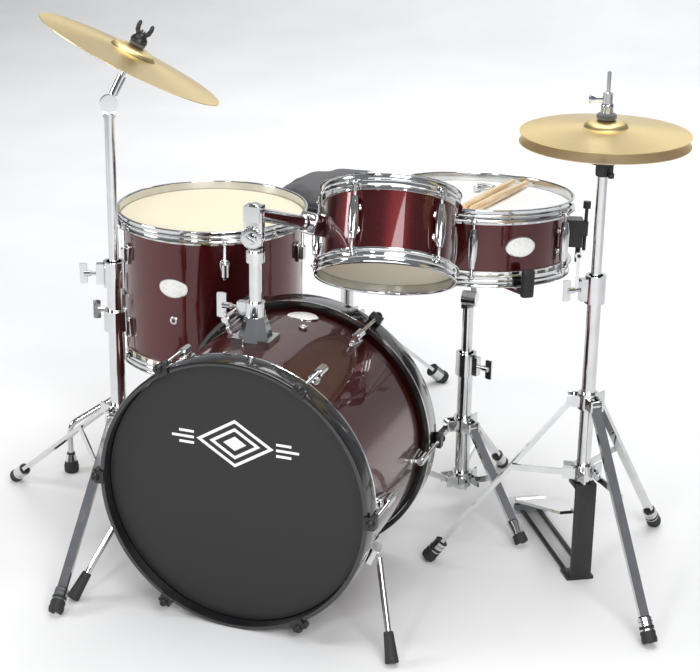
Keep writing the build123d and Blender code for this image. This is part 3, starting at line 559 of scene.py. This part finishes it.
def bass_emblem():
    """A plain emblem on the front head: nested diamonds between two stacks of bars."""
    mark = Gather()
    at = BASS_PLACE @ shifted(0, 82, BASS_SHELL / 2 + 1.0)

    def outline(scale):
        return [(62 * scale, 0), (0, 38 * scale), (-62 * scale, 0), (0, -38 * scale)]

    for outer, inner in ((1.0, 0.86), (0.66, 0.52)):
        big, small = outline(outer), outline(inner)
        points = [(x, y, z) for z in (0.0, 0.35) for x, y in big + small]
        faces = []
        for i in range(4):
            j = (i + 1) % 4
            faces += [(8 + i, 8 + j, 12 + j, 12 + i), (i, 4 + i, 4 + j, j)]
            faces += [(i, j, 8 + j, 8 + i), (4 + i, 12 + i, 12 + j, 4 + j)]
        mark.put((points, faces), at)
    mark.put(prism(outline(0.3), 0.35, 0), at @ shifted(0, 0, 0.18))
    for side in (-1, 1):
        for half_length, x, y in ((18, 84, 0), (12, 78, 9), (12, 78, -9)):
            bar = [(half_length, 2), (-half_length, 2), (-half_length, -2), (half_length, -2)]
            mark.put(prism(bar, 0.35, 0), at @ shifted(side * x, y, 0.18))
    mark.piece("bass_emblem", ENAMEL, "kit", "white_head")


def badge_mesh(radius, half_width, half_height, low, high, steps=48):
    """An oval plate bent round a shell of that radius, its Z out of the shell and its X round it."""
    levels = [(1.0, low), (1.0, high - 0.3), (0.94, high), (0.0, high)]
    points, faces = [], []
    for scale, rise in levels:
        for i in range(steps):
            turn = 2 * pi * i / steps
            x, y = half_width * scale * cos(turn), half_height * scale * sin(turn)
            angle = x / radius
            points.append(((radius + rise) * sin(angle), y, (radius + rise) * cos(angle) - radius))
    for k in range(len(levels) - 1):
        for i in range(steps):
            j = (i + 1) % steps
            faces.append((k * steps + i, k * steps + j, (k + 1) * steps + j, (k + 1) * steps + i))
    faces.append(tuple(reversed(range(steps))))
    return points, faces


def badges():
    """Blank oval badges, and a vent eyelet on two of the shells."""
    ring = [(3.0, -0.4), (7.2, -0.4), (7.4, 0.5), (6.4, 1.4), (4.6, 1.7), (3.4, 1.2), (3.0, 0.4)]
    eyelet = lathe(ring, 36)
    up_front = BASS_PLACE @ facing_out(BASS_RADIUS, 90, 0)
    places = [
        ("floor_tom", "kit", FLOOR_PLACE @ facing_out(FLOOR_RADIUS, -91, 147), FLOOR_RADIUS, (0, -58)),
        ("snare", "snare", SNARE_PLACE @ facing_out(SNARE_RADIUS, -46, 49), SNARE_RADIUS, None),
        ("bass", "kit", up_front @ shifted(-10, -99, 0), BASS_RADIUS, (-20, 47)),
    ]
    for name, body, at, radius, vent in places:
        plate = badge_mesh(radius, 27.0, 17.0, -0.4, 0.8)
        face = badge_mesh(radius, 25.0, 15.2, 0.2, 1.3)
        Gather().put(plate, at).piece(name + "_badge_rim", CHROME, body, "chrome")
        Gather().put(face, at).piece(name + "_badge", ENAMEL, body, "white_head")
        if vent:
            Gather().put(eyelet, at @ shifted(*vent, 0)).piece(name + "_vent", CHROME, body, "chrome")


# ---------------------------------------------------------------- cymbals and their stands

def cymbal_profile(radius, bell, rise, bell_rise, thick, hole):
    """Bow and bell of a cymbal with its edge at z = 0."""
    under = []
    for i in range(25):
        r = radius + (bell - radius) * i / 24
        share = max(0.0, (r - bell) / (radius - bell))
        under.append((r, rise * (1 - share ** 1.25)))
    for i in range(1, 13):
        r = bell + (hole - bell) * i / 12
        under.append((r, rise + bell_rise * math.sqrt(max(0.0, 1 - (r / bell) ** 2.4))))
    return under + [(r, z + thick) for r, z in reversed(under)]


def cymbals():
    """Both hi-hat cymbals and the crash."""
    flip = Matrix.Rotation(pi, 4, "X")
    top = cymbal_profile(127, 33, 9, 11, 1.0, 6.4)
    hat_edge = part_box("hihat_top_cymbal")[0].z / MM
    low_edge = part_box("hihat_bottom_cymbal")[1].z / MM
    Gather().put(lathe(top, 160)).piece("hihat_top", BRONZE, "hihat_rod", "bronze", ["hihat_top_cymbal"],
                                        shifted(HAT_X, HAT_Y, hat_edge))
    Gather().put(lathe(top, 160)).piece("hihat_bottom", PALE_BRONZE, "hihat_tube", "bronze",
                                        ["hihat_bottom_cymbal"], shifted(HAT_X, HAT_Y, low_edge) @ flip)
    crash = cymbal_profile(152.4, 38, 10, 12, 1.1, 6.2)
    Gather().put(lathe(crash, 180)).piece("crash", BRONZE, "crash_cymbal", "bronze", ["crash_cymbal"],
                                          crash_place(CRASH_RISE))


def crash_place(along):
    """A place on the crash's own axis, that far from the tilter."""
    side = Vector((0, 0, 1)).cross(CRASH_AXIS)
    x = side.cross(CRASH_AXIS).normalized()
    out = Matrix((x, CRASH_AXIS.cross(x), CRASH_AXIS)).transposed().to_4x4()
    out.translation = CRASH_AT + CRASH_AXIS * along
    return out


def crash_top():
    """Felts, cup washer and two-pronged wing nut over the crash."""
    at = crash_place(CRASH_RISE)
    felt = Gather().put(washer(13.5, 3.2, 13.2, 20.8, 1.6), at).put(washer(13, 3.2, 23.8, 29.4, 1.6), at)
    felt.piece("crash_felt_rings", FELT, "crash_tilter", "black_plastic")
    nut = Gather()
    cone = [(3.1, 29.6), (13.4, 29.6), (13.8, 31), (12.6, 36), (9.4, 39.6), (8, 42), (8, 47), (3.1, 47)]
    nut.put(lathe(cone, 40), at)
    prong = [(3.2, 0), (8.4, 0), (12.8, 6), (14.0, 14), (12.8, 21), (10.0, 22.5), (7.6, 20), (7.0, 12),
             (4.6, 6), (3.2, 4.6)]
    for side in (0, 180):
        upright = at @ spun(side) @ shifted(0, 0, 40) @ Matrix.Rotation(QUARTER, 4, "X")
        nut.put(prism(prong, 5.4, 1.6, 3), upright)
    nut.piece("crash_nut", PLASTIC, "crash_tilter", "black_plastic", ["crash_wing_nut"])


def hat_top():
    """Felts, clutch, cup seat and tilt screw of the hi-hat."""
    x, y = HAT_X, HAT_Y
    felt = Gather().put(washer(15, 3.2, 751.6, 760, 2.0), shifted(x, y, 0))
    felt.put(washer(12, 3.2, 737.2, 745, 2.0), shifted(x, y, 0))
    felt.piece("hihat_felts", FELT, "hihat_rod", "black_plastic")

    def knurl(turn, z):
        return 0.22 * sin(24 * turn + z * 0.9)

    rows = [(9.0, 761 + i * 1.6) for i in range(8)]
    clutch = [(3.05, 760.4), (8.4, 760.4)] + rows
    clutch += [(8.2, 774.4), (7.2, 775.4), (7.2, 788), (6.2, 789.4), (3.05, 789.4)]
    body = Gather().put(lathe(clutch, 144, knurl), shifted(x, y, 0))
    body.put(rod(3.0, 690, 822, 1.4), shifted(x, y, 0))
    wing = prism([(0, -4.5), (9, -4.5), (17, -8), (21, -5), (21, 5), (17, 8), (9, 4.5), (0, 4.5)], 4, 1.4, 3)
    body.put(wing, shifted(x, y, 781) @ spun(200) @ shifted(7, 0, 0) @ Matrix.Rotation(QUARTER, 4, "X"))
    body.piece("hihat_clutch_set", CHROME, "hihat_rod", "chrome")
    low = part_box("hihat_seat")[1].z / MM

    def ribs(turn, z):
        return 0.45 * sin(20 * turn) if low - 28 < z < low - 15 else 0.0

    cup = [(8.2, low - 29.6), (10.2, low - 29.6), (11, low - 28.6), (11, low - 24), (11, low - 18),
           (11.4, low - 14), (15, low - 12), (21, low - 9.6), (23.4, low - 7), (23.9, low - 1.4),
           (23, low - 0.2), (14.4, low - 0.2),
           (14.2, low - 3), (8.2, low - 3)]
    seat = Gather().put(lathe(cup, 160, ribs), shifted(x, y, 0))
    knob = spun(-30) @ shifted(16.5, 0, 0)
    seat.put(lathe([(0, low - 30), (4.2, low - 30), (4.6, low - 29), (4.6, low - 23), (3.6, low - 22),
                    (2.8, low - 21), (2.8, low - 8), (0, low - 8)], 24), shifted(x, y, 0) @ knob)
    seat.piece("hihat_cup", PLASTIC, "hihat_tube", "black_plastic", ["hihat_seat"])


def foot_boot(length, radius, ribs):
    """A rubber boot along Z over a leg's end, ringed if ribs is set."""
    loop = [(0, -2), (radius - 3.4, -2), (radius - 2.6, 0)]
    for i in range(9):
        share = i / 8
        loop.append((radius - 1.6 * (1 - share) + (0.9 if ribs and i % 2 else 0), 2 + (length - 4) * share))
    return lathe(loop + [(radius - 0.6, length), (0, length)], 36)


def tripod_boots(name, body_of_leg, stand, radius=11.6, ribs=()):
    """Black boots over the leg ends of one stand, cut flat by the floor."""
    x, y, top_z, reach, angles, tube_radius = stand
    for number, angle in enumerate(angles, 1):
        start, end = Vector((tube_radius + 12.5, 0, top_z)), Vector((reach, 0, 12.5))
        ahead = (end - start).normalized()
        at = axis_place(end - ahead * 30.5, ahead, (0, 1, 0))
        mesh = foot_boot(38.6, radius, number in ribs)
        made = Gather().put(mesh, shifted(x, y, 0) @ spun(angle) @ at)
        made.points = [Vector((p.x, p.y, max(p.z, 0.0))) for p in made.points]
        body = body_of_leg % number if "%d" in body_of_leg else body_of_leg
        made.piece("%s_boot_%d" % (name, number), RUBBER, body, "black_plastic")


def boots():
    """Boots of the four tripods and the three floor tom legs."""
    tripod_boots("crash", "crash_leg_%d", CRASH_STAND, ribs=(2,))
    tripod_boots("hihat", "kit", HAT_STAND, ribs=(1, 2, 3))
    tripod_boots("snare_stand", "kit", SNARE_STAND)
    tripod_boots("throne", "kit", THRONE_STAND, 14.6)
    shoe = [(0, 0), (10.2, 0), (12.6, 2.4), (13.3, 7), (13.3, 13), (11.6, 20), (8.6, 30), (7.3, 37.6),
            (6.2, 38.6), (0, 38.6)]
    for number, angle in enumerate(FLOOR_LEGS, 1):
        at = shifted(FLOOR_X, FLOOR_Y, 0) @ spun(angle) @ shifted(FLOOR_LEG_REACH, 0, 0)
        made = Gather().put(lathe(shoe, 40), at)
        made.piece("floor_tom_boot_%d" % number, RUBBER, "floor_tom_leg_%d" % number, "black_plastic")


def spur_boots():
    """Tapered rubber tips of the two spurs."""
    for side, name in ((1, "spur_right"), (-1, "spur_left")):
        angle = radians(SPUR_ANGLE if side > 0 else 180 - SPUR_ANGLE)
        out = Vector((cos(angle), 0, sin(angle)))
        hub = Vector((0, SPUR_Y, BASS_HEIGHT)) + out * (BASS_RADIUS + 16)
        tip = Vector((SPUR_TIP[0] * side, SPUR_TIP[1], 0))
        start = hub + (tip - hub).normalized() * 2 + out * 10
        end = tip + Vector((0, 0, 4.5))
        ahead = (end - start).normalized()
        at = axis_place(end - ahead * 47, ahead, (0, 1, 0))
        shoe = [(0, 0), (6.6, 0), (7.4, 1.2), (8.2, 14), (9.2, 30), (10.4, 45), (9.4, 46.4), (0, 46.4)]
        made = Gather().put(lathe(shoe, 36), at)
        made.points = [Vector((p.x, p.y, max(p.z, 0.0))) for p in made.points]
        made.piece(name + "_boot", RUBBER, name, "black_plastic")


def sticks_and_key():
    """Two turned sticks and a drum key on the snare head."""
    top = SNARE_PLACE @ shifted(0, 0, SNARE_HEIGHT + 1.5)
    end = 264.0
    loop = [(0, 0), (3.6, 0), (5.6, 0.8), (6.7, 2.4), (7.0, 4.6)]
    loop += [(7.0 - 2.7 * (i / 12) ** 1.6, end * 0.55 + (end * 0.45 - 16) * i / 12) for i in range(13)]
    loop += [(4.0, end - 14), (4.4, end - 11), (5.1, end - 7.5), (4.8, end - 3.4), (3.2, end - 0.8), (0, end)]
    for number, (offset, turn) in enumerate(((8.5, 0.8), (-8.5, -0.8)), 1):
        at = top @ shifted(26, 8, 0) @ spun(86) @ shifted(-end / 2, offset, 7.3) @ spun(turn)
        at = at @ Matrix.Rotation(QUARTER, 4, "Y")
        made = Gather().put(lathe(loop, 40))
        gone = ["drumsticks"] if number == 1 else ()
        made.piece("drumstick_%d" % number, WOOD, "snare", "stick_wood", gone, at)
    shank = [(0, 0), (4.6, 0), (5.4, 1), (5.4, 12), (4.2, 15), (3.2, 18), (3.2, 34), (0, 34)]
    key = Gather().put(lathe(shank, 28))
    edge = [(-17, 2), (-14, 6), (-6, 4), (0, 6.2), (6, 4), (14, 6), (17, 2)]
    wings = edge + [(-x, -y) for x, y in edge]
    key.put(prism(wings, 5.6, 1.4, 3), shifted(0, 0, 38) @ spun(90) @ Matrix.Rotation(QUARTER, 4, "X"))
    at = top @ shifted(-18, 46, 6.4) @ spun(77) @ Matrix.Rotation(QUARTER, 4, "Y")
    key.piece("drum_key_turned", CHROME, "snare", "chrome", ["drum_key"], at)


def tom_arm():
    """Where the holder's arm starts and where it meets the tom, as in the solids."""
    start, away = Vector(ARM_START), Vector((-0.933, -0.359, 0))
    axis = Vector(TOM_AXIS).normalized()
    out = (away - axis * away.dot(axis)).normalized()
    return start, Vector(TOM_FOOT) + axis * (TOM_HEIGHT * 0.58) + out * (TOM_RADIUS + 2)


def tom_holder():
    """Cast elbow with its toothed disc and screw, arm sleeve, clamp block and faceted base."""
    start, seat = tom_arm()
    face = axis_place(ELBOW_AT, (0, -1, 0), (0, 0, 1))
    low = [(15.2 * cos(pi * (1 + i / 12)), 15.2 * sin(pi * (1 + i / 12))) for i in range(13)]
    high = [(1 + 14 * cos(pi * i / 12), 38 + 14 * sin(pi * i / 12)) for i in range(13)]
    elbow = Gather().put(prism(low + high, 15, 2.4, 3), face)
    disc = [(0, 7), (16.4, 7), (17.2, 8), (17.2, 10.6), (16.4, 11.4), (9, 11.4), (8.6, 10.2), (0, 10.2)]
    elbow.put(lathe(disc, 96, lambda turn, z: 0.7 * sin(24 * turn) if 7.5 < z < 11 else 0.0), face)
    for side in (0, 180):
        half = [(7.6 * cos(pi * (i + 0.55) / 13.1), 7.6 * sin(pi * (i + 0.55) / 13.1)) for i in range(13)]
        elbow.put(prism(half, 3.6, 0.5), face @ spun(side - 35) @ shifted(0, 0.3, 12.4))
    along = axis_place(start, seat - start, (0, 0, 1))
    reach = (seat - start).length
    sleeve = [(0, -4), (11.4, -4), (12.4, -2), (12.4, 12), (10.6, 18), (10.0, reach - 48), (12.0, reach - 46),
              (12.6, reach - 44), (12.6, reach - 37), (11.6, reach - 35), (0, reach - 35)]
    elbow.put(lathe(sleeve, 48), along)
    elbow.piece("tom_elbow", CHROME, "tom_tilter", "chrome")
    grip = Gather().put(block(36, 33, 29, 4, 3), along @ shifted(0, 0, reach - 18.8))
    grip.piece("tom_clamp_block", CHROME, "tom", "chrome")
    cone = lathe([(0, 418), (27.4, 418), (27.4, 421), (17.6, 455), (16.6, 457), (0, 457)], 8)
    base = Gather().put(cone, shifted(POST_X, POST_Y, 0) @ spun(22.5))
    base.piece("tom_base_cone", CHROME, "kit", "chrome", sharp=12)


def grips():
    """Rubber grips on the basket arms and the black plate of the hi-hat pedal."""
    basket = SNARE_PLACE @ shifted(0, 0, -2.5)
    for number, angle in enumerate(BASKET_ANGLES, 1):
        turn = basket @ spun(angle)
        made = Gather().put(block(12.4, 20.4, 46, 3.4, 4), turn @ shifted(176, 0, -4))
        made.put(block(16, 20, 5.4, 1.6, 3), turn @ shifted(166, 0, -16.8))
        for rise in (-12, -4, 4, 12):
            made.put(block(1.6, 17, 3.2, 0.6), turn @ shifted(182.4, 0, rise - 4))
        made.piece("basket_grip_%d" % number, RUBBER, "snare", "black_plastic")
    stand = shifted(HAT_X, HAT_Y, 0) @ spun(HAT_PEDAL_ANGLE)
    plate = Gather().put(block(5.2, 35, 168.6, 1.2), stand @ shifted(-17.2, 0, 84.4))
    plate.put(block(35, 45, 5.6, 1.4), stand @ shifted(-2, 0, 2.9))
    plate.put(block(35, 35, 8.8, 1.4), stand @ shifted(-2, 0, 164.2))
    for side in (-1, 1):
        plate.put(block(221, 6.6, 5.6, 1.0), stand @ shifted(124.5, side * 15, 3))
    plate.piece("hihat_pedal_plate", PLASTIC, "kit", "black_plastic")


def snare_strands():
    """Coiled snare wires between their two clamp plates."""
    made = Gather()
    turn = SNARE_PLACE @ spun(18)
    for row in range(-4, 5):
        path = []
        for i in range(241):
            wave = 2 * pi * i / 6
            path.append((-119 + 238 * i / 240, row * 4.5 + 0.75 * cos(wave), -2.6 + 0.75 * sin(wave)))
        made.put(tube(path, 0.3, 5), turn)
    for side in (-1, 1):
        made.put(block(12, 46, 2.6, 0.6), turn @ shifted(side * 124, 0, -3.6))
    made.piece("snare_strands", STEEL, "snare", "chrome", ["snare_wires"])


def cushion():
    """The throne's round pad: a swollen vinyl top, a piped seam and a flat base."""
    low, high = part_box("throne_cushion")
    centre = Vector(((low.x + high.x) / 2, (low.y + high.y) / 2, low.z))
    radius, thick = (high.x - low.x) / 2, high.z - low.z
    start = [(0, 0.0), (0.93, 0.0), (0.97, 0.08), (0.985, 0.4), (0.975, 0.74), (0.93, 0.88), (0.82, 0.95),
             (0.5, 0.98), (0, 0.98)]
    made = Gather().put(lathe([(r * radius / MM, z * thick / MM) for r, z in start], 96))
    mesh_place = Matrix.Translation((centre - ORIGIN) / MM)
    pad = made.piece("throne_pad", VINYL, "throne_cushion", "vinyl", ["throne_cushion"], mesh_place, 60)
    swell(pad)
    seam = []
    for i in range(97):
        turn = 2 * pi * i / 96
        seam.append((radius / MM * 0.985 * cos(turn), radius / MM * 0.985 * sin(turn), thick / MM * 0.70))
    piping = Gather().put(tube(seam, 2.2, 10))
    piping.piece("throne_piping", VINYL, "throne_cushion", "vinyl", (), mesh_place, 60)


def swell(pad, voxel=0.006, pressure=4.0, cap=0.007):
    """Blows the pad up as cloth, no point moving farther than cap, and leaves a plain mesh."""
    remesh = pad.modifiers.new("remesh", "REMESH")
    remesh.mode = "VOXEL"
    remesh.voxel_size = voxel
    apply_all(pad)
    before = [v.co.copy() for v in pad.data.vertices]
    cloth = pad.modifiers.new("cloth", "CLOTH")
    cloth.settings.use_pressure = True
    cloth.settings.uniform_pressure_force = pressure
    cloth.settings.effector_weights.gravity = 0.0
    scene = bpy.context.scene
    for step in range(1, 21):
        scene.frame_set(step)
    apply_all(pad)
    for vertex, home in zip(pad.data.vertices, before):
        gone = vertex.co - home
        if gone.length > cap:
            vertex.co = home + gone.normalized() * cap
        vertex.co.z = max(vertex.co.z, 0.0)
    scene.frame_set(1)
    sub = pad.modifiers.new("sub", "SUBSURF")
    sub.levels = sub.render_levels = 1
    apply_all(pad)
    smooth(pad.data, 180)


def apply_all(obj):
    """Replaces the object's mesh by its evaluated one and clears its modifiers."""
    graph = bpy.context.evaluated_depsgraph_get()
    graph.update()
    fresh = bpy.data.meshes.new_from_object(obj.evaluated_get(graph))
    obj.modifiers.clear()
    obj.data = fresh


# ---------------------------------------------------------------- studio

# Lights: name, place, aim, size in metres, watts
LIGHTS = (
    ("strip", (-0.15, -3.1, 1.5), (0.1, -0.25, 0.5), 0.35, 14),
    ("key", (2.0, -3.0, 2.4), (0, 0, 0.35), 2.0, 100),
    ("fill", (-3.0, -1.8, 1.6), (0, 0, 0.4), 1.0, 40),
    ("top", (0.0, 0.2, 3.8), (0, 0, 0), 3.0, 85),
    ("backdrop", (0.0, 2.6, 3.6), (0, 5.0, 0.6), 3.0, 120),
)
# Black panels outside the main view: place on the floor in metres, turn in degrees
PANELS = ((-0.9, -4.2, 12), (-3.6, 0.6, 80), (3.4, 0.8, -80), (-3.9, 2.2, 50), (1.5, 3.9, -25))
# The camera's place in millimetres, and its turn, downward tilt and roll in degrees
CAMERA_AT = (968.9, -2371.7, 1352.3)
CAMERA_TURN, CAMERA_TILT, CAMERA_ROLL = 21.05, 20.41, 0.4355


def dark_panel(number, x, y, turn):
    """A black panel outside the main view, for the dark streaks in the chrome and the lacquer."""
    bm = bmesh.new()
    corners = [(-0.55, 0, 0.1), (0.55, 0, 0.1), (0.55, 0, 2.6), (-0.55, 0, 2.6)]
    bm.faces.new([bm.verts.new(p) for p in corners])
    mesh = bpy.data.meshes.new("dark_panel_%d" % number)
    bm.to_mesh(mesh)
    bm.free()
    mesh.materials.append(RUBBER)
    made = bpy.data.objects.new("dark_panel_%d" % number, mesh)
    made.matrix_world = shifted(x, y, 0) @ spun(turn)
    bpy.context.scene.collection.objects.link(made)


def studio():
    """Pale floor and backdrop, dark panels and soft lights."""
    bm = bmesh.new()
    half_width, flat_start, flat_end, bend, wall_top, steps = 16.0, -4.0, 4.0, 2.5, 6.0, 20
    last = 2 * steps - 1
    rows = [(-half_width, 0.0)]
    rows += [(flat_start + i / last * 2 * (flat_end - flat_start), 0.0) for i in range(steps)]
    for i in range(steps, 2 * steps):
        turn = (i / last - 0.5) * 2 * pi / 2
        rows.append((flat_end + bend * sin(turn), bend * (1 - cos(turn))))
    rows.append((flat_end + bend, wall_top))
    previous = None
    for y, z in rows:
        pair = [bm.verts.new((-half_width, y, z)), bm.verts.new((half_width, y, z))]
        if previous:
            bm.faces.new((previous[0], previous[1], pair[1], pair[0]))
        previous = pair
    mesh = bpy.data.meshes.new("studio_floor")
    bm.to_mesh(mesh)
    bm.free()
    mesh.materials.append(FLOOR)
    smooth(mesh, 180)
    ground = bpy.data.objects.new("studio_floor", mesh)
    bpy.context.scene.collection.objects.link(ground)
    for number, (x, y, turn) in enumerate(PANELS):
        dark_panel(number, x, y, turn)
    world = bpy.data.worlds.new("studio_world")
    world.use_nodes = True
    world.node_tree.nodes["Background"].inputs["Color"].default_value = (0.9, 0.93, 1.0, 1)
    world.node_tree.nodes["Background"].inputs["Strength"].default_value = 0.26
    bpy.context.scene.world = world
    bpy.context.scene.view_settings.view_transform = "Standard"
    for name, at, aim, size, power in LIGHTS:
        lamp = bpy.data.lights.new(name, "AREA")
        lamp.energy = power
        lamp.size = size
        lit = bpy.data.objects.new(name, lamp)
        bpy.context.scene.collection.objects.link(lit)
        lit.location = at
        lit.rotation_euler = (Vector(aim) - Vector(at)).to_track_quat("-Z", "Y").to_euler()


def camera():
    data = bpy.data.cameras.new("camera")
    data.sensor_width = 36.0
    data.lens = 92.0
    data.shift_x = 0.0614
    data.shift_y = 0.0162
    made = bpy.data.objects.new("camera", data)
    turn = Matrix.Rotation(radians(CAMERA_TURN), 4, "Z") @ Matrix.Rotation(radians(90 - CAMERA_TILT), 4, "X")
    at = ORIGIN + Vector(CAMERA_AT) * MM
    made.matrix_world = Matrix.Translation(at) @ turn @ spun(CAMERA_ROLL)
    bpy.context.scene.collection.objects.link(made)
    bpy.context.scene.camera = made


def build():
    dress_nodes()
    bass_parts()
    bass_emblem()
    metal_drum("tom", "tom", TOM_PLACE, TOM_RADIUS, TOM_HEIGHT, TOM_LUGS, TOM_GAP, CREAM_FILM,
               "cream_head", tube_lug(TOM_RADIUS, TOM_HEIGHT, TOM_GAP))
    metal_drum("snare", "snare", SNARE_PLACE, SNARE_RADIUS, SNARE_HEIGHT, SNARE_LUGS, SNARE_GAP, WHITE_FILM,
               "white_head", tube_lug(SNARE_RADIUS, SNARE_HEIGHT, SNARE_GAP))
    metal_drum("floor_tom", "kit", FLOOR_PLACE, FLOOR_RADIUS, FLOOR_HEIGHT, FLOOR_LUGS, FLOOR_GAP, CREAM_FILM,
               "cream_head", floor_lug(FLOOR_RADIUS, FLOOR_HEIGHT))
    badges()
    cymbals()
    crash_top()
    hat_top()
    boots()
    spur_boots()
    sticks_and_key()
    tom_holder()
    grips()
    snare_strands()
    cushion()
    studio()
    camera()


build()
